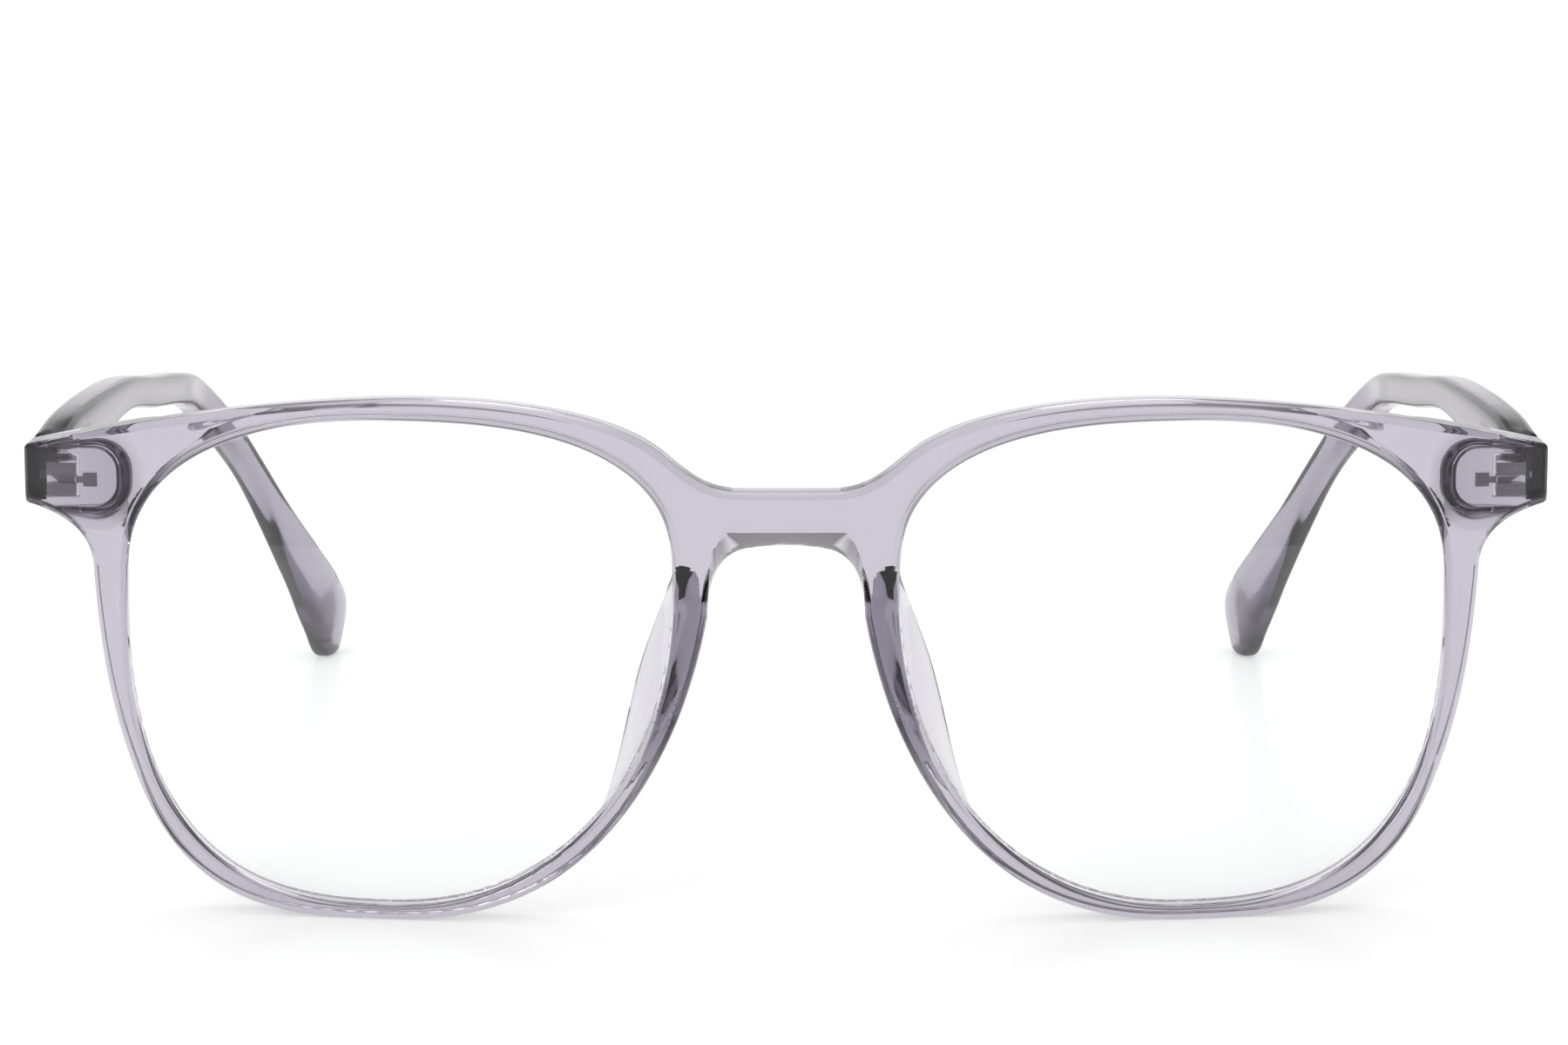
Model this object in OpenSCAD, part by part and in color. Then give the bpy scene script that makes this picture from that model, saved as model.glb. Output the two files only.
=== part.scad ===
// Rectangular eyeglasses with softly rounded eyes, in clear grey moulded plastic.
// The wearer looks along -Y, so +X is the wearer's left, +Z is up.
// The lower rims and the two temple tips stand on Z = 0.

/* [Eyes] */
// Width of each lens opening
eye_w = 51; // [47:0.5:55]
// Height of each lens opening
eye_h = 45.8; // [41:0.1:47]
// Distance between the two openings, across the nose
eye_gap = 21; // [19:0.5:24]
// How far the top of the opening lies outside its middle
peak_out = 0.7; // [0:0.1:2]
// How far the widest line of the opening lies above its middle
waist_up = 8.4; // [4:0.2:10]
// Squareness of the upper outer corner of the opening
square_top_out = 2.3; // [2:0.05:3]
// Squareness of the upper inner corner of the opening
square_top_in = 2.6; // [2:0.05:3]
// Squareness of the lower inner corner of the opening
square_low_in = 2.15; // [2:0.05:3]
// Squareness of the lower outer corner of the opening
square_low_out = 2.7; // [2:0.05:3]

/* [Rims] */
// Radius to which the whole front is bowed
bow_r = 300; // [220:10:500]
// Thickness of the rims from front to back
rim_t = 4.2; // [3.6:0.1:5]
// Height of the rim under the opening
rim_low = 1.3; // [1.2:0.1:2.5]
// Height of the rim above the opening
rim_top = 2.2; // [1.8:0.1:4]
// Width of the outer side of the rim, at the level of the hinge
rim_side = 3.9; // [3.6:0.1:5]
// Depth of the groove that holds the lens
groove_d = 0.5; // [0.3:0.05:0.6]
// How much the front widens from the endpieces down to the lower rims, in percent
spread = 1.4; // [0:0.1:3]

/* [Bridge] */
// Half of the nose gap's width, at its top
nose_half = 6.1; // [5.2:0.1:7]
// Drop from the top of the rims to the top of the bridge
bridge_drop = 8.4; // [6:0.2:11]
// Height of the bridge's front face
bridge_h = 3.7; // [3:0.1:5]
// How much lower the bridge is at the back than at the front
saddle_drop = 1.6; // [0.4:0.1:2]
// How far the nose pads reach behind the rims
pad_reach = 4.6; // [2.5:0.1:6]
// How far the nose pads flare outwards behind the lenses
pad_flare = 1.75; // [1:0.05:3]

/* [Endpieces] */
// Overall width of the front
front_w = 142.8; // [138:0.2:150]
// Drop from the top of the rims to the top outer corner of the endpiece
end_drop = 5.2; // [4:0.1:6]
// Height of the endpiece at its outer edge
end_h = 5.7; // [5.2:0.1:6.5]
// Thickness of the endpiece at its outer edge, from front to back
end_t = 5; // [4.8:0.1:6.5]
// Width of the thick block behind the endpiece
block_w = 9.3; // [8:0.1:9.6]

/* [Temples] */
// Thickness of the temple
temple_t = 3.3; // [3.1:0.1:4]
// Height of the temple at the hinge
temple_head_h = 6.1; // [5.6:0.1:7]
// How far the temple stands above the endpiece at the hinge
head_up = 0.3; // [0:0.05:0.6]
// Height of the slim part of the temple
temple_slim_h = 3.5; // [2.8:0.1:5]
// Length of the temple from the hinge end to the bend
temple_len = 94; // [88:1:100]
// How far the temple leans inwards from the hinge end to the bend
bend_in = 3; // [0:0.2:5]
// How far behind the bend the tip ends
tip_back = 26.2; // [20:0.2:30]
// How far the tip leans inwards from the bend to its end
tip_in = 12.8; // [6:0.2:14]
// Greatest height of the temple tip
tip_h = 9.3; // [5:0.1:11]

/* [Hinges] */
// Distance of the hinge axis from the temple's outer face
axis_in = 3.6; // [3.5:0.05:4]
// Distance of the hinge axis behind the endpiece
axis_back = 1.4; // [1.2:0.1:2]
// Radius of the hinge knuckles
knuckle_r = 1.4; // [1.2:0.05:1.4]
// Height of each outer knuckle
knuckle_h = 1.2; // [1:0.05:1.4]
// Height of the middle knuckle
tongue_h = 0.7; // [0.5:0.05:1.2]
// Diameter of the hinge screw's shank
screw_d = 1.2; // [1:0.05:1.4]
// Diameter of the screw's head
head_d = 1.9; // [1.6:0.1:2.2]
// Height of the screw's head
head_h = 0.4; // [0.3:0.05:0.5]

/* [Hidden] */

plastic = [0.80, 0.79, 0.83, 0.75];
lens_tint = [0.93, 0.95, 0.96, 0.35];
steel = [0.62, 0.62, 0.64];

// Clearances
fit_gap = 0.03;     // shank in its bore, and leaves in their sockets
seat_gap = 0.04;    // lens in its groove
swing_gap = 0.15;   // temple against the endpiece, and around the knuckles
leaf_gap = 0.05;    // tongue between the outer knuckles

// Steps along each drawn curve, and facets of a full circle of a large and of a small radius
steps = 20;
fine = 720;
round = 64;

// Levels and places of the front, in its own plane
top_z = rim_low + eye_h + rim_top;
eye_x = eye_gap / 2 + eye_w / 2;
peak_x = eye_x + peak_out;
waist_z = rim_low + eye_h / 2 + waist_up;
bridge_z = top_z - bridge_drop;
end_x = front_w / 2;
end_top = top_z - end_drop;
end_low = end_top - end_h;
function bow_y(x, r = bow_r) = bow_r - sqrt(r * r - x * x);
joint_y = bow_y(end_x) + end_t;

// Places of the hinge
axis_x = end_x - axis_in;
axis_y = joint_y + axis_back;
hinge_z = end_low + end_h / 2 - 0.6;
slot_h = tongue_h + 2 * leaf_gap;
hinge_h = slot_h + 2 * knuckle_h;

// Small helpers
function power(c, n) = sign(c) * pow(abs(c), 2 / n);
function unit(v) = v / norm(v);
function turn(v) = [v.y, -v.x];
function mix(a, b, t) = a + (b - a) * t;
function flip(pts) = [for (i = [len(pts) - 1:-1:0]) [-pts[i].x, pts[i].y]];
function curve(a, b, c, d, n) = [for (i = [0:n - 1]) let (t = i / n, s = 1 - t)
    a * s * s * s + b * 3 * s * s * t + c * 3 * s * t * t + d * t * t * t];

// A point moved outwards the further it lies below the endpiece
function widen(z) = 1 + spread / 100 * max(0, 1 - z / end_low);
function spread_pt(p) = [p.x * widen(p.y), p.y];

// A point of the opening's edge at angle a, from the outer side (0) over the top (90)
function eye_pt(a) = let (
    c = cos(a), s = sin(a),
    n = c >= 0 ? (s >= 0 ? square_top_out : square_low_out) : (s >= 0 ? square_top_in : square_low_in),
    rx = c >= 0 ? eye_x + eye_w / 2 - peak_x : peak_x - eye_gap / 2,
    rz = s >= 0 ? top_z - rim_top - waist_z : waist_z - rim_low)
    spread_pt([peak_x + rx * power(c, n), waist_z + rz * power(s, n)]);
function eye_loop(grow = 0) = [for (i = [0:4 * steps - 1]) let (a = 90 * i / steps)
    eye_pt(a) + grow * unit(turn(eye_pt(a + 0.5) - eye_pt(a - 0.5)))];

// The rim's outer edge under the endpiece, and along the nose, as quarters of a squared oval
side_top = top_z + 8;
side_square = 3.25;
nose_top = top_z - 5;
nose_square = 2.3;
side_x = eye_x + eye_w / 2 + rim_side;
function side_pt(a) = spread_pt([peak_x + (side_x - peak_x) * power(cos(a), side_square),
                                 side_top * (1 - power(sin(a), side_square))]);
function nose_pt(a) = spread_pt([peak_x - (peak_x - nose_half) * power(cos(a), nose_square),
                                 nose_top * (1 - power(sin(a), nose_square))]);
side_from = 14;
nose_from = 17;

// The top edge from the middle of the bridge out to the endpiece
crest = [34.3 / 61.5 * (eye_x + eye_w / 2), top_z];
shoulder = [eye_gap / 2 + 1, bridge_z + 3.6];
function brow_pt(t) = [mix(crest.x, end_x - 0.6, t), top_z - (end_drop - 0.1) * pow(t, 1.7)];
top_edge = concat(
    [[0, bridge_z]],
    curve([4.2, bridge_z], [7.6, bridge_z], shoulder - [2.2, 1.8], shoulder, 8),
    curve(shoulder, shoulder + [4.7, 3.7], [crest.x - 8.3, top_z], crest, 12),
    [for (i = [0:12]) brow_pt(i / 12)]);

// The endpiece's outer edge and the hollow under it
end_edge = concat(
    [[end_x - 0.15, end_top - 0.25], [end_x, end_top - 0.7],
     [end_x, end_low + 0.9], [end_x - 0.15, end_low + 0.4]],
    curve([end_x - 0.6, end_low + 0.05], [end_x - 4.2, end_low - 1], side_pt(side_from) + [0.45, 2.6],
          side_pt(side_from), 12));

// The nose gap's edge at the back, and on the front face
gap_foot = nose_pt(nose_from);
saddle_z = bridge_z - bridge_h - saddle_drop;
back_flat = [gap_foot.x - 3.8, saddle_z - 0.28];
gap_back = concat(
    curve(gap_foot, gap_foot + [-0.1, 3.2], [gap_foot.x - 0.9, saddle_z - 0.7], back_flat, 10),
    [back_flat, [0, saddle_z]]);
front_flat = [gap_foot.x - 2, bridge_z - bridge_h];
gap_front = concat(
    curve(gap_foot, gap_foot + [-0.1, 4.4], [gap_foot.x - 0.3, front_flat.y], front_flat, 10),
    [front_flat, [0, front_flat.y]]);

half_outline = concat(
    top_edge, end_edge,
    [for (i = [0:2 * steps - 1]) side_pt(side_from + (90 - side_from) * i / (2 * steps))],
    [for (i = [0:2 * steps - 1]) nose_pt(90 - (90 - nose_from) * i / (2 * steps))],
    gap_back);
inner_half = [for (i = [1:len(half_outline) - 2]) half_outline[i]];
front_outline = concat([half_outline[0]], inner_half,
    [half_outline[len(half_outline) - 1]], flip(inner_half));

// A plate of any outline in the front's plane, from y0 back to y1
module plate(outline, y0, y1) {
    translate([0, y1, 0]) rotate([90, 0, 0]) linear_extrude(y1 - y0) polygon(outline);
}

// The space between two bowed surfaces, depth d0 and d1 behind the front face
module bowed(d0, d1) {
    difference() {
        translate([0, bow_r, -10]) cylinder(r = bow_r - d0, h = top_z + 20, $fn = fine);
        translate([0, bow_r, -11]) cylinder(r = bow_r - d1, h = top_z + 22, $fn = fine);
    }
}

// The lens is part of a ball, set square to the bowed front at the middle of the eye
ball_r = 130;
lens_t = 1.5;
lens_proud = 0.4;
module ball_shell(extra = 0) {
    lean = asin(eye_x / bow_r);
    ball_c = bow_r - ball_r + lens_proud;
    translate([0, bow_r, rim_low + eye_h / 2]) rotate([0, 0, lean]) translate([0, -ball_c, 0])
        difference() {
            sphere(r = ball_r + extra, $fn = fine);
            sphere(r = ball_r - lens_t - extra, $fn = fine);
        }
}

module lens() {
    color(lens_tint) intersection() {
        plate(eye_loop(groove_d - seat_gap), -2, 16);
        ball_shell();
    }
}

// A closed skin over rings of points, each ring in the same turning sense
module skin(rings) {
    n = len(rings[0]);
    m = len(rings);
    polyhedron(
        points = [for (r = rings) for (p = r) p],
        faces = concat(
            [[for (i = [n - 1:-1:0]) i]],
            [[for (i = [0:n - 1]) (m - 1) * n + i]],
            [for (j = [0:m - 2]) for (i = [0:n - 1]) let (k = (i + 1) % n)
                [j * n + i, j * n + k, (j + 1) * n + k]],
            [for (j = [0:m - 2]) for (i = [0:n - 1]) let (k = (i + 1) % n)
                [j * n + i, (j + 1) * n + k, (j + 1) * n + i]]),
        convexity = 6);
}

// A moulded nose pad: level slices that swell back out of the rim and die away again
pad_low = rim_low + 9.3;
pad_top = saddle_z - 3;
pad_slices = 12;
pad_root = 0.3;
function inside_x(z) = widen(z) * (peak_x - (peak_x - eye_gap / 2)
    * pow(1 - pow(abs(z - waist_z) / (z > waist_z ? top_z - rim_top - waist_z : waist_z - rim_low),
                  z > waist_z ? square_top_in : square_low_in),
          1 / (z > waist_z ? square_top_in : square_low_in)));
function gap_x(z) = widen(z) * (peak_x - (peak_x - nose_half)
    * pow(1 - pow((nose_top - min(z, gap_foot.y)) / nose_top, nose_square), 1 / nose_square));
function pad_slice(t) = let (
    z = mix(pad_low, pad_top, t),
    e = mix(0.08, 1, sin(180 * t)),
    g = gap_x(z) + 0.25,
    w = inside_x(z) - pad_root,
    back = rim_t + pad_reach * e,
    tip = w + (pad_flare + pad_root) * e)
    [[g, 1.2, z], [g - 0.1 * e, rim_t * 0.8, z], [mix(g, tip, 0.4), mix(rim_t * 0.8, back, 0.62), z],
     [tip - 0.7, back - 0.2, z], [tip, back, z], [tip + 0.6 * e, back - 0.8 * e, z],
     [mix(w, tip, 0.5) + 0.2 * e, mix(rim_t, back, 0.35), z], [w - 0.1, rim_t - 1, z], [w - 0.3, 1.2, z]];
module nose_pad() {
    skin([for (i = [0:pad_slices]) pad_slice(i / pad_slices)]);
}

// The bevel that cuts the bridge's front edge back from the front face to the saddle
bevel_y = 2.6;
module saddle_bevel() {
    front = concat(flip([for (i = [0:10]) gap_front[i]]), [for (i = [0:10]) gap_front[i]]);
    rear = concat(flip([for (i = [0:10]) gap_back[i]]), [for (i = [0:10]) gap_back[i]]);
    skin([[for (p = front) [p.x, -0.01 + bow_y(p.x) - 0.3, p.y]],
          [for (p = rear) [p.x, bevel_y + bow_y(p.x), p.y]]]);
}

// The thick block behind the endpiece: rounded inner corners, and the front's own outline outside
block_r = 2.6;
block_under = 1;
module block() {
    x0 = end_x - block_w;
    z0 = end_low - block_under;
    z1 = end_top - 0.3;
    intersection() {
        plate(concat(
            [for (a = [180:-15:90]) [x0 + block_r + block_r * cos(a), z1 - block_r + block_r * sin(a)]],
            [[end_x + 1, z1], [end_x + 1, z0]],
            [for (a = [270:-15:180]) [x0 + block_r + block_r * cos(a), z0 + block_r + block_r * sin(a)]]),
            0, joint_y);
        plate(front_outline, -1, joint_y + 1);
        translate([0, bow_r, -10]) cylinder(r = bow_r, h = top_z + 20, $fn = fine);
    }
}

// The recess in the back of the endpiece, round the hinge
recess_d = 1.3;
recess_side = 0.3;
module hinge_recess() {
    translate([axis_x - knuckle_r - recess_side, joint_y - recess_d, hinge_z - hinge_h / 2 - recess_side])
        cube([2 * (knuckle_r + recess_side), recess_d + 1, hinge_h + head_h + 2 * recess_side]);
}

// The front hinge leaf: two knuckles on a plate that is moulded into the endpiece
leaf_embed = 3;
web_back = 1.2;
anchor_w = 1.3;
module front_leaf(g = 0) {
    root_y = joint_y - leaf_embed - g;
    stem_y = axis_y - knuckle_r - 0.2;
    for (side = [-1, 1])
        translate([axis_x, axis_y, hinge_z + side * (slot_h + knuckle_h) / 2]) {
            cylinder(r = knuckle_r + g, h = knuckle_h + 2 * g, center = true, $fn = round);
            translate([-knuckle_r - g, root_y - axis_y, -knuckle_h / 2 - g])
                cube([2 * (knuckle_r + g), axis_y - root_y, knuckle_h + 2 * g]);
        }
    translate([axis_x - knuckle_r - g, root_y + web_back, hinge_z - slot_h / 2 - 0.1])
        cube([2 * (knuckle_r + g), stem_y - root_y - web_back + g, slot_h + 0.2]);
    translate([axis_x - knuckle_r - 0.7, root_y, hinge_z - 0.3 - g])
        cube([0.8, web_back + 0.5 + 2 * g, 0.6 + 2 * g]);
    translate([axis_x - knuckle_r - 0.7 - anchor_w - g, root_y, hinge_z - anchor_w / 2 - g])
        cube([anchor_w + g, web_back + 0.5 + 2 * g, anchor_w + 2 * g]);
}

module screw_bore(h) {
    translate([axis_x, axis_y, hinge_z])
        cylinder(d = screw_d + 2 * fit_gap, h = h, center = true, $fn = round);
}

module front_hinge_leaf() {
    color(steel) difference() {
        front_leaf();
        screw_bore(hinge_h + 2);
    }
}

module hinge_screw() {
    top = hinge_z + hinge_h / 2;
    color(steel) difference() {
        union() {
            translate([axis_x, axis_y, hinge_z - hinge_h / 2])
                cylinder(d = screw_d, h = hinge_h + 0.1, $fn = round);
            translate([axis_x, axis_y, top]) cylinder(d = head_d, h = head_h, $fn = round);
        }
        translate([axis_x - head_d, axis_y - 0.15, top + head_h / 2]) cube([2 * head_d, 0.3, head_h]);
    }
}

// The temple hinge leaf: a middle knuckle on a plate that is moulded into the temple
shank_t = 1;
shank_h = 3.2;
shank_up = 1.2;
shank_from = 2.4;
shank_len = 11;
shank_x = end_x - 1.5 - shank_t;
module temple_leaf(g = 0) {
    translate([axis_x, axis_y, hinge_z])
        cylinder(r = knuckle_r + g, h = tongue_h + 2 * g, center = true, $fn = round);
    translate([axis_x - g, axis_y, hinge_z - tongue_h / 2 - g])
        cube([shank_x + shank_t - axis_x + g, shank_from + 1, tongue_h + 2 * g]);
    translate([axis_x - g, axis_y - g, hinge_z - tongue_h / 2 - g])
        cube([knuckle_r + g, knuckle_r, tongue_h + 2 * g]);
    translate([shank_x - g, axis_y + shank_from - g, hinge_z + shank_up - shank_h / 2 - g])
        cube([shank_t + 2 * g, shank_len + 2 * g, shank_h + 2 * g]);
}

module temple_hinge_leaf() {
    color(steel) difference() {
        temple_leaf();
        screw_bore(tongue_h + 2);
    }
}

// The temple's centre line. Along its straight part each row holds the share of temple_len,
// how far the line lies above the middle of the head, and the height of the temple there.
head_y = joint_y + swing_gap;
head_z = end_top + head_up - temple_head_h / 2;
bend_y = head_y + temple_len;
mid_x = end_x - temple_t / 2;
straight_rows = [[0, 0, temple_head_h], [0.1, 0.9, temple_head_h - 0.2],
                 [0.25, 1.4, mix(temple_head_h, temple_slim_h, 0.5)], [0.42, 1.2, temple_slim_h],
                 [0.6, -1, temple_slim_h], [0.79, -3.2, temple_slim_h + 0.1],
                 [0.92, -5.6, temple_slim_h + 0.4]];
// Down the tip each row holds the share of tip_in and of tip_back, the level and the height
tip_rows = [[0.15, 0.07, 29.9, temple_slim_h + 0.4], [0.34, 0.3, 24.2, temple_slim_h - 0.2],
            [0.54, 0.5, 17.4, mix(temple_slim_h, tip_h, 0.13)],
            [0.745, 0.67, 10.8, mix(temple_slim_h, tip_h, 0.46)],
            [0.865, 0.8, 6.2, mix(temple_slim_h, tip_h, 0.84)],
            [0.935, 0.93, 2.4, tip_h], [0.95, 1, 0, 1.8]];
function temple_line(lift) = concat(
    [for (r = straight_rows)
        [mid_x - bend_in * r[0], head_y + temple_len * r[0], head_z + r[1], r[2], temple_t]],
    [for (r = tip_rows)
        [mid_x - bend_in - tip_in * r[0], bend_y + tip_back * r[1], lift + r[2], r[3],
         temple_t - (r[1] < 1 ? 0.1 * r[1] : 1.6)]]);

// A smooth curve through a list of rows, n steps from each row to the next
function through(p, n) = let (m = len(p) - 1) concat(
    [for (i = [0:m - 1]) for (j = [0:n - 1]) let (
        t = j / n, a = p[max(i - 1, 0)], b = p[i], c = p[i + 1], d = p[min(i + 2, m)],
        u = (c - a) / (i == 0 ? 1 : 2), v = (d - b) / (i + 2 > m ? 1 : 2))
        b * (2 * t * t * t - 3 * t * t + 1) + c * (3 * t * t - 2 * t * t * t)
        + u * (t * t * t - 2 * t * t + t) + v * (t * t * t - t * t)],
    [p[m]]);

side_points = 20;
function ease(a, b, v) = let (t = min(max((v - a) / (b - a), 0), 1)) t * t * (3 - 2 * t);
function section_square(y) = mix(4.5, 3.3, ease(bend_y - 60, bend_y + 8, y));
function temple_rings(lift) = let (rows = through(temple_line(lift), 4), m = len(rows) - 1)
    [for (i = [0:m]) let (
        row = rows[i],
        ahead = i == 0 ? [0, 1, 0] : unit([for (k = [0:2]) rows[min(i + 1, m)][k] - rows[i - 1][k]]),
        wide = unit([ahead.y, -ahead.x, 0]),
        tall = cross(wide, ahead))
        [for (k = [0:side_points - 1]) let (a = 360 * k / side_points)
            [row.x, row.y, row.z]
            + wide * row[4] / 2 * power(cos(a), section_square(row.y))
            + tall * row[3] / 2 * power(sin(a), section_square(row.y))]];

// The tip is lifted so that its lowest point stands on the table
tip_lift = -min([for (r = temple_rings(0)) for (p = r) p.z]);
temple_skin = temple_rings(tip_lift);
reach = max([for (r = temple_skin) for (p = r) p.y]);

// The space that the temple leaves for the knuckles
relief_r = knuckle_r + swing_gap;
relief_low = hinge_z - hinge_h / 2 - 1.2;
relief_h = hinge_h + head_h + 1.2 + recess_side;
module knuckle_relief() {
    translate([axis_x, axis_y, relief_low]) cylinder(r = relief_r, h = relief_h, $fn = round);
    translate([axis_x - relief_r, joint_y - 1, relief_low])
        cube([2 * relief_r, axis_y - joint_y + 1, relief_h]);
}

module temple() {
    color(plastic) difference() {
        skin(temple_skin);
        knuckle_relief();
        temple_leaf(fit_gap);
    }
}

module front_frame() {
    color(plastic) difference() {
        union() {
            difference() {
                intersection() {
                    plate(front_outline, -2, 24);
                    bowed(0, rim_t);
                }
                plate(eye_loop(), -2, 24);
                mirror([1, 0, 0]) plate(eye_loop(), -2, 24);
            }
            front_backs();
            mirror([1, 0, 0]) front_backs();
        }
        front_cuts();
        mirror([1, 0, 0]) front_cuts();
        saddle_bevel();
    }
}

// What stands out behind the bowed plate on one side
module front_backs() {
    block();
    nose_pad();
}

// What is cut out of the front on one side: the lens groove and the seat of the hinge
module front_cuts() {
    intersection() {
        plate(eye_loop(groove_d), -2, 16);
        ball_shell(seat_gap);
    }
    hinge_recess();
    front_leaf(fit_gap);
}

// The part stands over its own middle, from the bridge's face to the temple tips
module placed(side = 1) {
    translate([0, -reach / 2, 0]) {
        if (side > 0) children();
        else mirror([1, 0, 0]) children();
    }
}

placed() front_frame();
placed(-1) lens();  // lens_right
placed() lens();  // lens_left
placed(-1) front_hinge_leaf();  // front_hinge_leaf_right
placed() front_hinge_leaf();  // front_hinge_leaf_left
placed(-1) hinge_screw();  // hinge_screw_right
placed() hinge_screw();  // hinge_screw_left
placed(-1) temple();  // temple_right
placed() temple();  // temple_left
placed(-1) temple_hinge_leaf();  // temple_hinge_leaf_right
placed() temple_hinge_leaf();  // temple_hinge_leaf_left
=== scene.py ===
# %% [markdown]
# # A pair of clear grey glasses
# The measured model of the glasses is loaded as a fixed frame, and every piece of it is then
# dressed: the moulded plastic front and temples and the lenses are modelled again with rounded
# edges and finer curves, and the small metal parts of the hinges get a finish.
# Everything is in metres, the wearer looks along -Y, and Z is up.

# %% Load the measured model
import math
import bmesh
import bpy
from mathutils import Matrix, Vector


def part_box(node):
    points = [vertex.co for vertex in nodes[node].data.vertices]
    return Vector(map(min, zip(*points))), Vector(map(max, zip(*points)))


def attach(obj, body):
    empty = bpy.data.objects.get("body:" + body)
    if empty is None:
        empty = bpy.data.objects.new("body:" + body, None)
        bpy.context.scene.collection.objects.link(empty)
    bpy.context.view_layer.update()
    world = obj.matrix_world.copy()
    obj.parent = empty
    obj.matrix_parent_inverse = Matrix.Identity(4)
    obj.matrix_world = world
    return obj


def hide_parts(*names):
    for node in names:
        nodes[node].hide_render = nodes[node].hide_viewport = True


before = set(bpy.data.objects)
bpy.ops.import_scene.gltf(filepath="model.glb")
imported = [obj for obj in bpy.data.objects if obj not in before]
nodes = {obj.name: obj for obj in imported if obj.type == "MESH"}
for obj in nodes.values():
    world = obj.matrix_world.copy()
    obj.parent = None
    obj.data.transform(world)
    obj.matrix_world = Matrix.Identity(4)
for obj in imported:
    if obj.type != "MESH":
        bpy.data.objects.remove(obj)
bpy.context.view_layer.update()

# %% [markdown]
# ## The camera
# The photograph is taken from the front, about half a metre away and a little above the glasses,
# with a long lens. The camera comes first, so that every step can be compared with the photograph.

# %% Camera at the photograph's viewing angle
CAMERA_PLACE = (-0.0002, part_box("front_frame")[0].y - 0.43755, 0.11254)
CAMERA_PITCH = 9.646
CAMERA_LENS = 110.79
camera = bpy.data.objects.new("camera", bpy.data.cameras.new("camera"))
bpy.context.scene.collection.objects.link(camera)
camera.location = CAMERA_PLACE
camera.rotation_euler = (math.radians(90 - CAMERA_PITCH), 0, 0)
camera.data.lens = CAMERA_LENS
camera.data.sensor_width = 36
bpy.context.scene.camera = camera
print("camera", [round(v, 4) for v in CAMERA_PLACE], "pitch", CAMERA_PITCH, "lens", CAMERA_LENS)

# %% [markdown]
# ## Measures
# Clear frames are cut and moulded from drawn outlines, so the shapes here start from the same
# few numbers as the measured model. They are in millimetres, and MM turns them into metres.
# The front is drawn flat, X to the side, Z up and Y as the depth behind the front face, and it is
# bowed afterwards, as a real front is bent in a warm press. Drawn bowed from the start, each
# outline would be a curve in space, which is harder to read and to change.

# %% Numbers of the front and of the hinge axis, in millimetres
MM = 0.001
EYE_W, EYE_H, EYE_GAP = 51, 45.8, 21  # an opening, and the gap between the two
RIM_LOW, RIM_TOP, RIM_SIDE = 1.3, 2.2, 3.9  # the rim under, over and beside an opening
RIM_T = 4.2  # the rim from front to back
BOW_R = 300  # radius of the bowed face
LOW_WIDER = 0.014  # how much wider the front is at its foot than at the endpieces
TOP = RIM_LOW + EYE_H + RIM_TOP
EYE_X = EYE_GAP / 2 + EYE_W / 2
PEAK_X = EYE_X + 0.7  # where an opening is highest
WAIST = RIM_LOW + EYE_H / 2 + 8.4  # the level where it is widest
EYE_RISE, EYE_DROP = TOP - RIM_TOP - WAIST, WAIST - RIM_LOW  # its reach over and under that level
BRIDGE, BRIDGE_H = TOP - 8.4, 3.7  # upper edge of the bridge, and its height in front
SADDLE = BRIDGE - BRIDGE_H - 1.6  # its lower edge at the back
NOSE_HALF = 6.1  # half of the nose gap at its top
END_X, END_TOP, END_H = 71.4, TOP - 5.2, 5.7  # end, upper edge and height of an endpiece
END_LOW = END_TOP - END_H
END_DEEP = 5  # from its face back to the joint with the temple
SIDE_X = EYE_X + EYE_W / 2 + RIM_SIDE
FACE_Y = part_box("front_frame")[0].y / MM


def bow(x, depth=0.0):
    """Depth of a point of the bowed front behind the middle of its face."""
    return BOW_R - math.sqrt((BOW_R - depth) ** 2 - x * x)


def widen(z):
    """How much wider the front is at a level than at the endpieces."""
    return 1 + LOW_WIDER * max(0, 1 - z / END_LOW)


JOINT = bow(END_X) + END_DEEP
AXIS_X, AXIS_Y = END_X - 3.6, JOINT + 1.4  # the screw's place
print("front", 2 * END_X, "x", round(TOP, 2), "mm, hinge axis", round(AXIS_X, 2), round(AXIS_Y, 2))

# %% [markdown]
# ## Selecting, lofting and cutting
# An operator acts on everything that is selected, so each piece starts with a clean selection.
# A loft starts as a filled circle. Its points are laid on the first drawn outline, and the face is
# then extruded from outline to outline, which closes the shape at both ends. Bridging a row of
# separate rings would do as well, but it leaves the ends to be filled afterwards.

# %% Helpers that select and loft
def pick(obj):
    """Leave this object as the only one selected, and active."""
    if bpy.context.object and bpy.context.object.mode != "OBJECT":
        bpy.ops.object.mode_set(mode="OBJECT")
    bpy.ops.object.select_all(action="DESELECT")
    if obj:
        obj.select_set(True)
        bpy.context.view_layer.objects.active = obj


def face_out(obj, merge=0.0):
    """Merge doubled points if asked, and turn all faces of a closed shape outwards."""
    pick(obj)
    bpy.ops.object.mode_set(mode="EDIT")
    bpy.ops.mesh.select_all(action="SELECT")
    if merge:
        bpy.ops.mesh.remove_doubles(threshold=merge)
    bpy.ops.mesh.normals_make_consistent(inside=False)
    bpy.ops.object.mode_set(mode="OBJECT")


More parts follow.
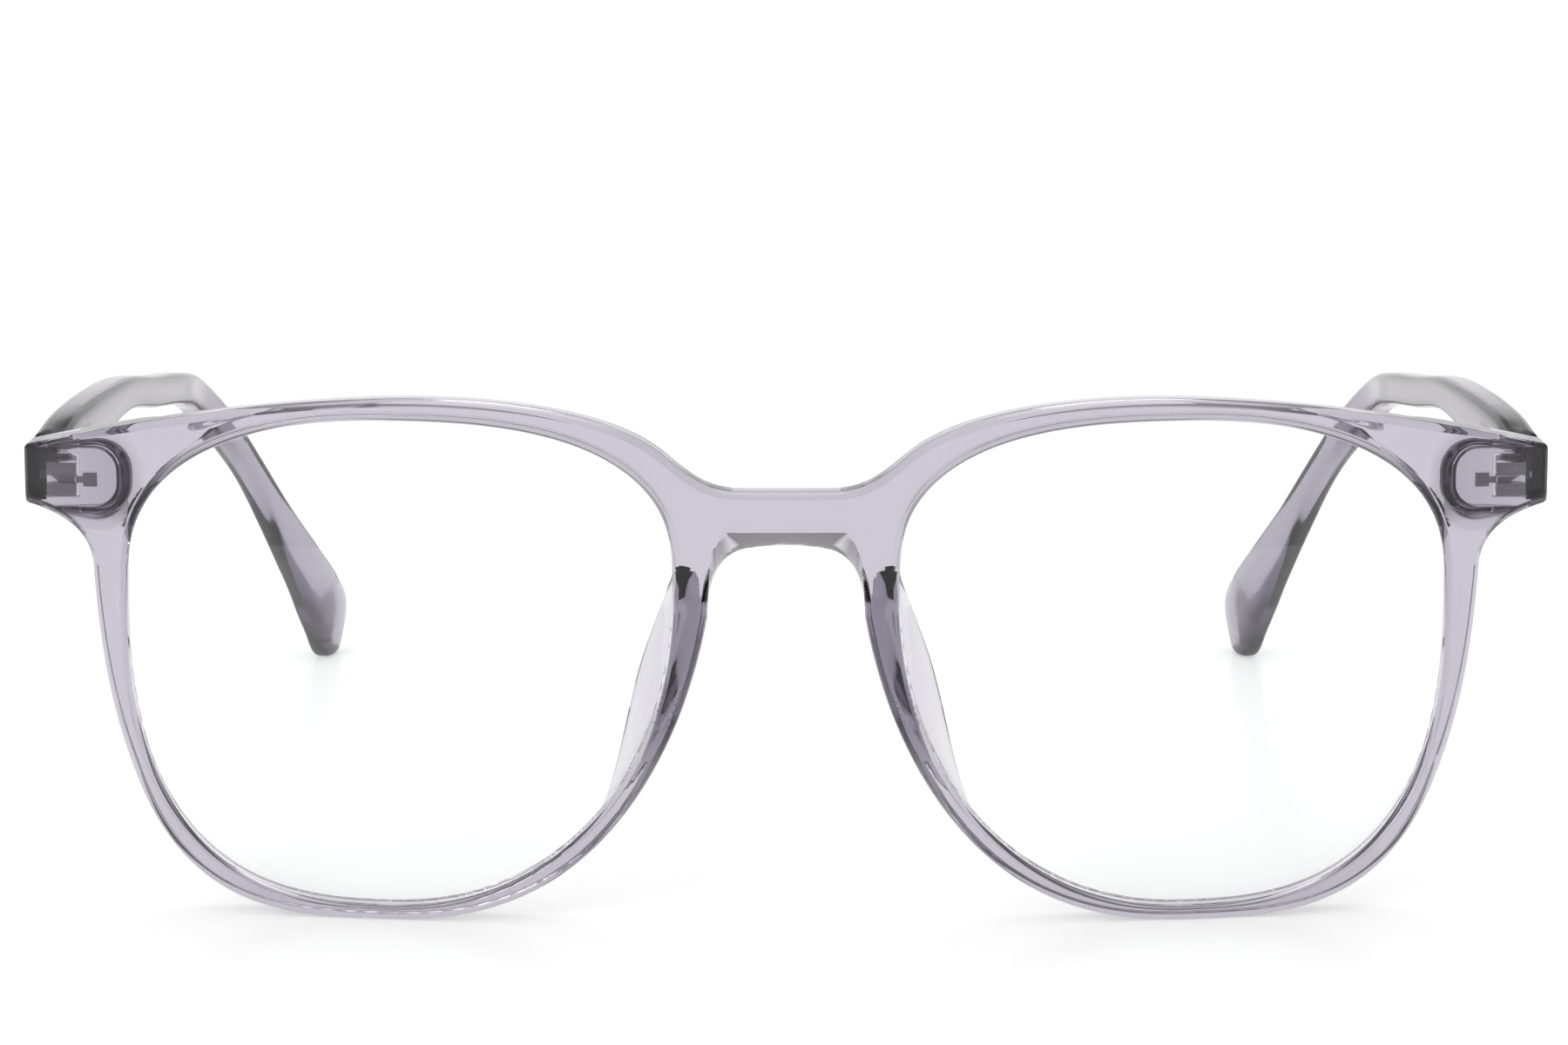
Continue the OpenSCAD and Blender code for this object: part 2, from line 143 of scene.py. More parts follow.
def loft(name, rings):
    """A closed shape through rings of points in millimetres, each with as many points."""
    pick(None)
    bpy.ops.mesh.primitive_circle_add(vertices=len(rings[0]), radius=MM, fill_type="NGON")
    obj = bpy.context.object
    obj.name = obj.data.name = name
    bpy.ops.object.mode_set(mode="EDIT")
    for number, ring in enumerate(rings):
        if number:
            bpy.ops.mesh.extrude_region_move()
        mesh = bmesh.from_edit_mesh(obj.data)
        end = next(f for f in mesh.faces if f.select)
        for corner, point in zip(end.verts, ring):
            corner.co = Vector(point) * MM
        bmesh.update_edit_mesh(obj.data)
    face_out(obj)
    return obj


print("ready to select and loft")

# %% [markdown]
# Cuts are booleans that are applied at once, so that the next step meets a plain mesh. Only the
# wearer's left side is modelled. Its copy is mirrored in edit mode, which turns its faces inside
# out, so they are flipped back. Weighted normals keep the large faces flat beside the small
# roundings, where plain smooth shading would bend the light over the whole face.

# %% Helpers that cut, mirror and smooth
def carve(obj, tool, how="DIFFERENCE"):
    """Cut the tool out of the object, or join it on, and throw the tool away."""
    pick(obj)
    step = obj.modifiers.new("step", "BOOLEAN")
    step.operation, step.object, step.solver = how, tool, "EXACT"
    bpy.ops.object.modifier_apply(modifier=step.name)
    bpy.data.objects.remove(tool)


def other_side(obj, name):
    """A copy with its own mesh for the wearer's right, mirrored across the middle."""
    pick(obj)
    bpy.ops.object.duplicate()
    copy = bpy.context.object
    copy.name = copy.data.name = name
    bpy.ops.object.mode_set(mode="EDIT")
    bpy.ops.mesh.select_all(action="SELECT")
    bpy.ops.transform.mirror(constraint_axis=(True, False, False), orient_type="GLOBAL",
                             center_override=(0, 0, 0))
    bpy.ops.mesh.flip_normals()
    bpy.ops.object.mode_set(mode="OBJECT")
    return copy


def smooth(obj, angle=24):
    """Smooth shading that keeps the edges sharper than the angle."""
    pick(obj)
    bpy.ops.object.shade_smooth_by_angle(angle=math.radians(angle))
    weigh = obj.modifiers.new("weigh", "WEIGHTED_NORMAL")
    weigh.keep_sharp = True
    bpy.ops.object.modifier_apply(modifier=weigh.name)


print("ready to cut, mirror and smooth")

# %% [markdown]
# ## Outlines of the front
# Each eye is a rectangle with soft corners, drawn as four quarters of squared ovals that meet on
# its widest line. The outer outline runs from the bridge over the brow to the endpiece, under it
# along the side and below the eye, and back up along the nose. Only the wearer's left half is
# drawn, and the other half is its mirror image.

# %% Curve of the eye opening
OUTER_SQUARES = (2.3, 2.7)  # how square the ovals are on the outer side, over and under the waist
INNER_SQUARES = (2.6, 2.15)  # and on the side of the nose
EYE_POINTS = 360


def squared(value, power):
    """A sine or cosine pushed outwards, which squares an oval."""
    return math.copysign(abs(value) ** (2 / power), value)


def eye_point(angle):
    """Edge of the opening at an angle in degrees, from its outer side over its top."""
    across, up = math.cos(math.radians(angle)), math.sin(math.radians(angle))
    square = (OUTER_SQUARES if across >= 0 else INNER_SQUARES)[0 if up >= 0 else 1]
    half_w = EYE_X + EYE_W / 2 - PEAK_X if across >= 0 else PEAK_X - EYE_GAP / 2
    half_h = EYE_RISE if up >= 0 else EYE_DROP
    z = WAIST + half_h * squared(up, square)
    return widen(z) * (PEAK_X + half_w * squared(across, square)), z


def eye_loop(margin):
    """Points round the opening, pushed out by a margin, or by one that depends on the level."""
    loop = []
    for i in range(EYE_POINTS):
        angle = 360 * i / EYE_POINTS
        (x, z), (x0, z0), (x1, z1) = [eye_point(angle + turn) for turn in (0, -0.4, 0.4)]
        run = math.hypot(x1 - x0, z1 - z0)
        grow = margin(z) if callable(margin) else margin
        loop.append((x + grow * (z1 - z0) / run, z - grow * (x1 - x0) / run))
    return loop


print("eye from", [round(v, 2) for v in eye_point(180)], "to", [round(v, 2) for v in eye_point(0)])

# %% Curves of the outer outline
SIDE_H, SIDE_SQUARE = TOP + 8, 3.25  # the quarter oval under an endpiece, and how square it is
NOSE_H, NOSE_SQUARE = TOP - 5, 2.3  # the quarter oval beside the nose


def quarter(angle, reach_x, height, square):
    """A point of a quarter oval that ends under the middle of the eye, at 90 degrees."""
    across = math.cos(math.radians(angle)) ** (2 / square)
    z = height * (1 - math.sin(math.radians(angle)) ** (2 / square))
    return widen(z) * (PEAK_X + (reach_x - PEAK_X) * across), z


def side_point(angle):
    """A point of the outline under the endpiece."""
    return quarter(angle, SIDE_X, SIDE_H, SIDE_SQUARE)


def nose_point(angle):
    """A point of the outline beside the nose."""
    return quarter(angle, NOSE_HALF, NOSE_H, NOSE_SQUARE)


def bezier(a, b, c, d, count):
    """Points of a drawn curve with two handles, without its last point."""
    line = []
    for i in range(count):
        t, s = i / count, 1 - i / count
        line.append(tuple(a[k] * s**3 + 3 * b[k] * s * s * t + 3 * c[k] * s * t * t + d[k] * t**3
                          for k in range(2)))
    return line


def arc(x, z, radius, start, stop, count):
    """Points of a round corner."""
    angles = [math.radians(start + (stop - start) * i / count) for i in range(count + 1)]
    return [(x + radius * math.cos(a), z + radius * math.sin(a)) for a in angles]


print("rim under the eye at", [round(v, 2) for v in side_point(90)])

# %% The whole outer outline, where each curve has its ends and two handles between them
CREST_AT = 34.3 / 61.5  # the highest point, as a share of the way to the opening's outer side
END_ROUND = 0.6  # rounding of an endpiece's two corners
BROW_DROP = 5.1  # fall of the brow from the crest to the endpiece
SIDE_FROM, NOSE_TO = 14, 17  # angles where the quarter ovals begin and end
RIM_POINTS = 70
crest = (CREST_AT * (EYE_X + EYE_W / 2), TOP)
shoulder = (EYE_GAP / 2 + 1, BRIDGE + 3.6)
top_edge = [(0, BRIDGE), (2.1, BRIDGE)]
top_edge += bezier((4.2, BRIDGE), (7.6, BRIDGE),
                   (shoulder[0] - 2.2, shoulder[1] - 1.8), shoulder, 14)
top_edge += bezier(shoulder, (shoulder[0] + 4.7, shoulder[1] + 3.7),
                   (crest[0] - 8.3, TOP), crest, 20)
top_edge += [(crest[0] + (END_X - END_ROUND - crest[0]) * i / 24, TOP - BROW_DROP * (i / 24) ** 1.7)
             for i in range(24)]
side_start = side_point(SIDE_FROM)
end_edge = arc(END_X - END_ROUND, END_TOP - 0.5, END_ROUND, 90, 0, 4)
end_edge += arc(END_X - END_ROUND, END_LOW + 0.65, END_ROUND, 0, -90, 4)[:-1]
end_edge += bezier((END_X - END_ROUND, END_LOW + 0.05), (END_X - 4.2, END_LOW - 1),
                   (side_start[0] + 0.45, side_start[1] + 2.6), side_start, 20)
rim_edge = [side_point(SIDE_FROM + (90 - SIDE_FROM) * i / RIM_POINTS) for i in range(RIM_POINTS)]
rim_edge += [nose_point(90 - (90 - NOSE_TO) * i / RIM_POINTS) for i in range(RIM_POINTS)]
foot = nose_point(NOSE_TO)
arch_back = (3.5, SADDLE - 0.28)
gap_back = bezier(foot, (foot[0] - 0.1, foot[1] + 3.2), (6.4, SADDLE - 0.7), arch_back, 14)
gap_back += [arch_back, (1.8, SADDLE - 0.08), (0, SADDLE)]
half = top_edge + end_edge + rim_edge + gap_back
outline = half + [(-x, z) for x, z in reversed(half[1:-1])]
print("outline of", len(outline), "points")

# %% [markdown]
# ## The front plate
# A polished plastic front has no sharp edge anywhere. The outline is shrunk a little at both
# faces and let out again in an arc, and the openings are cut with a tool whose two ends flare out
# in the same way. Beside each arc the face has a step of 0.02 mm, which catches the fine dark line
# that runs along such a rim. A bevel modifier would be shorter, but the roundings here are
# narrower at the lower rims than at the top. Where the block of the endpiece will stand, the back
# edge stays square.

# %% Roundings of the edges
ROUND_LOW, ROUND_TOP, ROUND_SIDE = 0.14, 0.66, 0.4  # at the outer edge
EYE_ROUND_LOW, EYE_ROUND_TOP = 0.36, 0.62  # round the openings
LOW_RIM = (3, 16)  # between these levels the roundings grow to those of the upper rim
SIDES = (61, 67)  # between these places the upper rim's rounding turns into that of the sides
COVERED_X, COVERED_Z = 59, 33  # beyond both, the block covers the back edge
COVERED_ROUND = 0.03
STEP_LEAST, STEP_H = 0.002, 0.024  # height of the fine step


def mix(a, b, t):
    """A value on the way from a to b."""
    return a + (b - a) * t


def ease(low, high, value):
    """A soft step from 0 to 1."""
    t = min(max((value - low) / (high - low), 0), 1)
    return t * t * (3 - 2 * t)


def outer_round(x, z):
    """Rounding of the outer edge at a point of the outline."""
    by_level = mix(ROUND_LOW, ROUND_TOP, ease(*LOW_RIM, z))
    return min(by_level, mix(ROUND_TOP, ROUND_SIDE, ease(*SIDES, abs(x))))


def inner_round(z):
    """Rounding of an opening's edge at a level."""
    return mix(EYE_ROUND_LOW, EYE_ROUND_TOP, ease(*LOW_RIM, z))


def shrunk(loop, inset):
    """The loop moved inwards, by one amount or by an amount for each point."""
    count = len(loop)
    area = sum(loop[i - 1][0] * loop[i][1] - loop[i][0] * loop[i - 1][1] for i in range(count))
    turn = -1 if area > 0 else 1
    moved = []
    for i, (x, z) in enumerate(loop):
        (x0, z0), (x1, z1) = loop[i - 1], loop[(i + 1) % count]
        run = math.hypot(x1 - x0, z1 - z0)
        by = inset[i] if isinstance(inset, list) else inset
        moved.append((x + turn * by * (z1 - z0) / run, z - turn * by * (x1 - x0) / run))
    return moved


def edge_arc(a):
    """Inset and depth of the edge's arc, for a rounding 1 wide; it meets the face at 30 degrees."""
    return 2 * (1 - math.sin(a)), 2 * (math.cos(math.pi / 6) - math.cos(a))


def line_step(r):
    """Height of the fine step beside a rounding, next to none where the edge stays square."""
    return mix(STEP_LEAST, STEP_H, ease(0.08, 0.2, r))


EDGE_STEPS = [edge_arc(math.radians(30 + 15 * k)) for k in range(5)]
front_round = [outer_round(x, z) for x, z in outline]
back_round = [COVERED_ROUND if abs(x) > COVERED_X and z > COVERED_Z else r
              for (x, z), r in zip(outline, front_round)]
print("outer edge rounded by", round(min(front_round), 2), "to", round(max(front_round), 2), "mm")

# %% Loft the flat plate
def face_rings(rounds, level, inwards):
    """Rings from a face of the plate over its step and its rounding."""
    ring = shrunk(outline, [r + line_step(r) / 2 for r in rounds])
    rings = [[(x, level, z) for x, z in ring]]
    for inset, deep in EDGE_STEPS:
        ring = shrunk(outline, [r * inset for r in rounds])
        rings.append([(x, level + inwards * (r * deep + line_step(r)), z)
                      for (x, z), r in zip(ring, rounds)])
    return rings


plate_rings = face_rings(front_round, 0, 1) + face_rings(back_round, RIM_T, -1)[::-1]
front = loft("front_plastic", plate_rings)
print("plate", len(front.data.polygons), "faces")

# %% Cut the two eyes
def eye_cutter():
    """A tool for the left opening, flared at both faces."""
    wide = eye_loop(lambda z: inner_round(z) + STEP_H / 2)
    rounds = [[(x, STEP_H - STEP_LEAST, z) for x, z in wide]]
    for inset, deep in EDGE_STEPS:
        loop = eye_loop(lambda z, inset=inset: inner_round(z) * inset)
        rounds.append([(x, inner_round(z) * deep + STEP_H, z) for x, z in loop])
    rings = [[(x, -1, z) for x, z in wide]] + rounds
    rings += [[(x, RIM_T - depth, z) for x, depth, z in ring] for ring in reversed(rounds)]
    return loft("eye_cutter", rings + [[(x, RIM_T + 1, z) for x, z in wide]])


left_tool = eye_cutter()
right_tool = other_side(left_tool, "eye_cutter_right")
carve(front, left_tool)
carve(front, right_tool)
print("flat front", len(front.data.polygons), "faces")

# %% [markdown]
# ## Bowing the front
# Bend tools need a window, so the plate is sliced across with the bisect tool and each point is
# then set back by the bow at its own place. The slices are narrow enough to look round, and they
# are shifted a little so that they miss the outline's own points.

# %% Slice the plate and bow it
def slice_all(places, axis):
    """Cut the whole mesh across an axis, 0 for X and 2 for Z, at places in millimetres."""
    for place in places:
        plane = [place * MM if k == axis else 0 for k in range(3)]
        bpy.ops.mesh.select_all(action="SELECT")
        bpy.ops.mesh.bisect(plane_co=plane, plane_no=[int(k == axis) for k in range(3)])


pick(front)
bpy.ops.object.mode_set(mode="EDIT")
slice_all([x + 0.13 for x in range(-71, 72, 2)], 0)
bpy.ops.object.mode_set(mode="OBJECT")
for point in front.data.vertices:
    x, depth = point.co.x / MM, point.co.y / MM
    point.co.y = (FACE_Y + bow(x, depth)) * MM
print("bowed front", len(front.data.polygons), "faces")

# %% [markdown]
# ## The scooped brow
# A crease leaves the top edge over each eye and runs down to the opening beside the endpiece.
# Above it the face is scooped out: steep at the crease, then rising slowly to the outer edge.
# Sculpting would do, but a cut with a lofted tool can be measured and made the same on both sides.
# The tool's slices stand across the crease and fan out from it.

# %% Helpers that measure a reach and draw a smooth curve
def ray_reach(loop, angle, hub):
    """How far the loop's edge is from a point in one direction."""
    dx, dz = math.cos(angle), math.sin(angle)
    best = 1e9
    for i in range(len(loop)):
        (x0, z0), (x1, z1) = loop[i - 1], loop[i]
        ex, ez = x1 - x0, z1 - z0
        bottom = dx * ez - dz * ex
        if abs(bottom) < 1e-12:
            continue
        along = ((x0 - hub[0]) * ez - (z0 - hub[1]) * ex) / bottom
        share = ((x0 - hub[0]) * dz - (z0 - hub[1]) * dx) / bottom
        if along > 0 and 0 <= share <= 1:
            best = min(best, along)
    return best


def between(p0, p1, p2, p3):
    """Four points of the smooth curve from p1 towards p2, with p0 before them and p3 after."""
    line = []
    for t in (0, 0.25, 0.5, 0.75):
        line.append(tuple(0.5 * (2 * p1[k] + (p2[k] - p0[k]) * t
                                 + (2 * p0[k] - 5 * p1[k] + 4 * p2[k] - p3[k]) * t * t
                                 + (3 * p1[k] - p0[k] - 3 * p2[k] + p3[k]) * t**3)
                          for k in range(2)))
    return line


def through(points):
    """A smooth curve through flat points."""
    last, line = len(points) - 1, []
    for i in range(last):
        line += between(points[max(i - 1, 0)], points[i], points[i + 1], points[min(i + 2, last)])
    return line + [points[-1]]


print("nose gap", round(ray_reach(outline, math.pi / 2, (0, 0)), 2), "mm high")

# %% Cut the scoop on both sides
CREASE = [(37.6, TOP - 0.15), (40.75, TOP - 0.4), (44.83, TOP - 0.87), (48.93, TOP - 1.7),
          (52.07, TOP - 2.7), (53.6, TOP - 3.65), (55.17, TOP - 4.75), (57.28, TOP - 6.4),
          (59.39, TOP - 8.2)]
SCOOP_DEEP, SCOOP_SHALLOW = 0.13, 0.03  # its depth over the eye, and near the endpiece
STEEP_LEAST, STEEP_MOST = 0.25, 0.8  # width of the steep part along the crease
EDGE_STRIP = 0.75  # what the scoop leaves of the face along the outer edge
PROUD, SKIN = 0.8, 0.005  # how far the tool's back and its rim stand out of the face
crease = through(CREASE)
scoop_rings = []
for i, (x, z) in enumerate(crease):
    (x0, z0), (x1, z1) = crease[max(i - 1, 0)], crease[min(i + 1, len(crease) - 1)]
    across = math.atan2(x1 - x0, z0 - z1)
    share = i / (len(crease) - 1)
    deep = mix(SCOOP_DEEP, SCOOP_SHALLOW, ease(0.45, 0.8, share))
    deep = ease(0, 0.3, share) * deep * (1 - ease(0.9, 1, share))
    steep = ease(0.1, 0.35, share) * (1 - ease(0.45, 0.75, share))
    long = max(ray_reach(outline, across, (x, z)) - EDGE_STRIP, 0.3)
    wide = min(mix(STEEP_LEAST, STEEP_MOST, steep), 0.5 * long)
    ring = [(-0.02, -0.02)]
    ring += [(wide * k / 5, deep * math.sin(math.pi * k / 10) - SKIN) for k in range(6)]
    ring += [(mix(wide, long, k / 7), deep * (1 - ease(0, 1, k / 7)) - SKIN) for k in range(1, 8)]
    ring += [(long, -PROUD), (long / 2, -PROUD), (-0.02, -PROUD)]
    scoop_rings.append([(x + u * math.cos(across), FACE_Y + bow(x + u * math.cos(across)) + deep_at,
                         z + u * math.sin(across)) for u, deep_at in ring])
scoop = loft("scoop_tool", scoop_rings)
scoop_right = other_side(scoop, "scoop_tool_right")
carve(front, scoop)
carve(front, scoop_right)
print("scooped front", len(front.data.polygons), "faces")

# %% [markdown]
# ## The blocks behind the endpieces
# The plastic is thicker where the hinge sits. The block grows out of the back of the rim in a
# hollow curve, stands up to the joint with the temple and is rounded again at its rim. Its outer
# walls follow the endpiece, so each ring is the smaller of the block's own rounded square and the
# outline of the front, seen from the middle of the block. A box with a bevel at its foot would
# stick out over the rounded edges. The first rings lie inside the plate, where the join hides them.

# %% Outline of the left block, level by level
BLOCK_LEFT, BLOCK_LOW, BLOCK_HIGH = END_X - 9.3, END_LOW - 1, END_TOP - 0.3
HUB = ((BLOCK_LEFT + END_X) / 2 + 0.4, (BLOCK_LOW + BLOCK_HIGH) / 2 + 0.2)
BLOCK_R = 2.6  # its corners towards the eye
TUCK = 0.04  # how far its walls stay inside the edges of the front
RAYS = 144


def block_square(grow):
    """The block's own outline: round corners towards the eye, and open to the outside."""
    r = BLOCK_R + grow
    x0, z0, z1 = BLOCK_LEFT - grow, BLOCK_LOW - grow, BLOCK_HIGH + grow
    return (arc(x0 + r, z1 - r, r, 180, 90, 12) + [(END_X + 9, z1), (END_X + 9, z0)]
            + arc(x0 + r, z0 + r, r, 270, 180, 12))


def block_ring(grow, share, inset=TUCK):
    """One ring; share runs from 0 at the back of the plate to 1 at the joint."""
    eye_edge = eye_loop(lambda z: inner_round(z) + 2 * TUCK)
    loops = [block_square(grow), shrunk(outline, inset), eye_edge]
    ring = []
    for i in range(RAYS):
        angle = 2 * math.pi * i / RAYS
        reach = min(ray_reach(loop, angle, HUB) for loop in loops)
        x, z = HUB[0] + reach * math.cos(angle), HUB[1] + reach * math.sin(angle)
        ring.append((x, FACE_Y + mix(bow(x, RIM_T), JOINT, share), z))
    return ring


print("block from", round(BLOCK_LEFT, 2), "to", END_X, "seen from", [round(v, 2) for v in HUB])

# %% Loft the left block and join both
FILLET, FILLET_SHARE = 2.4, 0.55  # spread of the hollow curve, and its share of the block's height
DRAFT = 0.3  # how much the block narrows towards the joint
TOP_ROUND, WALL_ROUND = 0.4, 0.2  # rounding at the joint, towards the eye and along the outer walls
ROUND_SHARE = 0.16  # that rounding's share of the height
ROUND_STEPS = [math.radians(90 * k / 4) for k in range(5)]
block_rings = [block_ring(FILLET * 1.4, -0.4)]
for k in range(12):
    t = mix(-0.13, 1, k / 11)
    level = FILLET_SHARE * math.copysign(abs(t) ** 1.4, t)
    block_rings.append(block_ring(FILLET * (1 - t) ** 1.5, level))
for a in ROUND_STEPS:
    turned = 1 - math.cos(a)
    block_rings.append(block_ring(-DRAFT - TOP_ROUND * turned, 1 - ROUND_SHARE * (1 - math.sin(a)),
                                  TUCK + WALL_ROUND * turned))
block = loft("block", block_rings)
block_right = other_side(block, "block_right")
carve(front, block, "UNION")
carve(front, block_right, "UNION")
print("front with blocks", len(front.data.polygons), "faces")

# %% [markdown]
# ## The nose pads
# The pads are moulded on the rims. Seen from the front they are wings that flare out behind the
# lenses. A ball pressed flat would be quick, but a pad follows the rim's curve, so it is lofted.
# Each level slice is a closed curve through nine points. The slices swell in the middle of the
# pad and die away towards its foot. At its upper end the pad keeps its depth longer and then runs
# out in a short ramp.

# %% Edges of the rim beside the nose
def inside_x(z):
    """Inner edge of the opening at a level."""
    half_h, square = (EYE_RISE, INNER_SQUARES[0]) if z > WAIST else (EYE_DROP, INNER_SQUARES[1])
    across = (1 - (abs(z - WAIST) / half_h) ** square) ** (1 / square)
    return widen(z) * (PEAK_X - (PEAK_X - EYE_GAP / 2) * across)


def gap_x(z):
    """Edge of the nose gap at a level."""
    up = (NOSE_H - min(z, foot[1])) / NOSE_H
    across = (1 - up**NOSE_SQUARE) ** (1 / NOSE_SQUARE)
    return widen(z) * (PEAK_X - (PEAK_X - NOSE_HALF) * across)


print("rim beside the nose from", round(gap_x(SADDLE / 2), 2), "to", round(inside_x(SADDLE / 2), 2))

# %% Loft the left pad from its level slices
PAD_LOW, PAD_HIGH = RIM_LOW + 9.3, SADDLE - 2
PAD_DEEP = 4.6  # how far it stands behind the rim
WING, SUNK = 1.75, 0.3  # how far it flares out over the opening, and how far its foot is in the rim
THIN = 0.08  # what is left of it at both ends
RAMP = 0.17  # length of the ramp at its upper end, as a share of the pad
PAD_SLICES = 36


def pad_slice(t):
    """The pad's section at one level; t runs from 0 at its foot to 1 at its upper end."""
    z, swell = mix(PAD_LOW, PAD_HIGH, t), math.sin(math.pi * t)
    ramp = 1 - (1 - min((1 - t) / RAMP, 1)) ** 1.2
    flare = mix(THIN, 1, swell**1.4 if t > 0.5 else swell)
    back = RIM_T + PAD_DEEP * mix(THIN, 1, ramp if t > 0.5 else swell)
    gap, rim = gap_x(z) + 0.25, inside_x(z) - SUNK
    tip = rim + (WING + SUNK) * flare
    corners = [(gap, 1.2), (gap - 0.1 * flare, RIM_T * 0.8),
               (mix(gap, tip, 0.4), mix(RIM_T * 0.8, back, 0.62)),
               (tip - 0.7, back - 0.2), (tip, back), (tip + 0.6 * flare, back - 0.8 * flare),
               (mix(rim, tip, 0.5) + 0.2 * flare, mix(RIM_T, back, 0.35)),
               (rim - 0.1, RIM_T - 1), (rim - 0.3, 1.2)]
    ring = []
    for i in range(len(corners)):
        ring += between(*[corners[(i + k - 1) % len(corners)] for k in range(4)])
    return [(x, FACE_Y + y, z) for x, y in ring]


pad = loft("pad", [pad_slice(i / PAD_SLICES) for i in range(PAD_SLICES + 1)])
pad_right = other_side(pad, "pad_right")
carve(front, pad, "UNION")
carve(front, pad_right, "UNION")
print("front with pads", len(front.data.polygons), "faces")

# %% [markdown]
# ## The bridge's underside
# Under the bridge the front edge is cut back in a bevel, so that the saddle rests on the nose
# only behind. The bevel is widest in the middle and runs out along both sides of the gap, so a
# bevel of one width won't do. The tool reaches from the front edge at the face to the back edge
# 2.6 mm deeper.

# %% Cut the bevel under the bridge
FRONT_EDGE = BRIDGE - BRIDGE_H
BEVEL_STEPS = ((-0.4, -0.15), (0.5, 0.19), (1.2, 0.46), (1.9, 0.73), (2.62, 1.005))
arch_front = (5.3, FRONT_EDGE)
gap_front = bezier(foot, (foot[0] - 0.1, foot[1] + 4.4), (7, FRONT_EDGE), arch_front, 14)
gap_front += [arch_front, (2.7, FRONT_EDGE), (0, FRONT_EDGE)]


def both_ways(half_line):
    """The left half of a line and its mirror image."""
    return half_line + [(-x, z) for x, z in reversed(half_line[:-1])]


bevel_rings = []
for depth, share in BEVEL_STEPS:
    line = [(mix(x0, x1, share), mix(z0, z1, share))
            for (x0, z0), (x1, z1) in zip(both_ways(gap_front), both_ways(gap_back))]
    bevel_rings.append([(x, FACE_Y + depth + bow(x), z) for x, z in line])
carve(front, loft("bevel_tool", bevel_rings))
print("front with bevel", len(front.data.polygons), "faces")

# %% [markdown]
# ## The lenses
# A lens is a slice of a ball. Its outline is filled, cut into small squares with the bisect tool
# and extruded, and the two faces are then laid on the outer and the inner ball. A cut through two
# real balls would look the same, but the thin crescent between them often breaks a boolean. The
# groove that holds the lens is cut with the same shape, made a little larger.

# %% Cut the grooves of the lenses
BALL_R, LENS_T = 130, 1.5
GROOVE, LENS_SLACK = 0.5, 0.04  # depth of the groove in the rim, and the lens's room in it
LEAN = math.asin(EYE_X / BOW_R)
BALL_AWAY = BOW_R - BALL_R + 0.4  # from the middle of the front's bow to the middle of the ball
BALL = (BALL_AWAY * math.sin(LEAN), BOW_R - BALL_AWAY * math.cos(LEAN), RIM_LOW + EYE_H / 2)


def lens_shape(name, grow, slack):
    """A slice of the ball inside the opening's outline, let out by grow and thickened by slack."""
    shape = loft(name, [[(x, 0, z) for x, z in eye_loop(grow)]])
    pick(shape)
    bpy.ops.object.mode_set(mode="EDIT")
    slice_all([x + 0.17 for x in range(8, 66, 2)], 0)
    slice_all([z + 0.21 for z in range(0, 50, 2)], 2)
    bpy.ops.mesh.select_all(action="SELECT")
    bpy.ops.mesh.extrude_region_move(TRANSFORM_OT_translate={"value": (0, MM, 0)})
    bpy.ops.object.mode_set(mode="OBJECT")
    for point in shape.data.vertices:
        radius = BALL_R + slack if point.co.y < 0.5 * MM else BALL_R - LENS_T - slack
        dx, dz = point.co.x / MM - BALL[0], point.co.z / MM - BALL[2]
        point.co.y = (FACE_Y + BALL[1] - math.sqrt(radius**2 - dx * dx - dz * dz)) * MM
    face_out(shape)
    return shape


groove = lens_shape("groove_tool", GROOVE, LENS_SLACK)
groove_right = other_side(groove, "groove_tool_right")
carve(front, groove)
carve(front, groove_right)
print("front with grooves", len(front.data.polygons), "faces")

# %% [markdown]
# ## Seats of the hinges
# The metal leaf is moulded into the block, and a shallow pocket round the knuckles gives them
# room. The seat is cut with a copy of the measured leaf, let out by a hair.

# %% Tools for the rooms of the hinge
HINGE_Z = END_LOW + END_H / 2 - 0.6
SLOT_H, KNUCKLE_H = 0.8, 1.2  # between the two knuckles, and each of them
HINGE_H = SLOT_H + 2 * KNUCKLE_H
SEAT_ROOM = 0.03  # round a leaf in its seat


def box_tool(name, low, high):
    """A cutting box between two corners in millimetres."""
    pick(None)
    size = [b - a for a, b in zip(low, high)]
    bpy.ops.mesh.primitive_cube_add(size=1, location=[(a + b) / 2 * MM for a, b in zip(low, high)])
    obj = bpy.context.object
    obj.name = obj.data.name = name
    obj.scale = [s * MM for s in size]
    bpy.ops.object.transform_apply(location=True, rotation=True, scale=True)
    return obj


def leaf_tool(node):
    """A copy of a measured leaf, merged and let out by a hair."""
    tool = nodes[node].copy()
    tool.data = nodes[node].data.copy()
    tool.name = tool.data.name = "seat_tool"
    tool.parent = None
    for key in list(tool.keys()):
        del tool[key]
    bpy.context.scene.collection.objects.link(tool)
    face_out(tool, merge=1e-6)
    bpy.ops.object.mode_set(mode="EDIT")
    bpy.ops.mesh.select_all(action="SELECT")
    bpy.ops.transform.shrink_fatten(value=SEAT_ROOM * MM)
    bpy.ops.object.mode_set(mode="OBJECT")
    return tool


print("hinge", HINGE_H, "mm high at", round(HINGE_Z, 2))

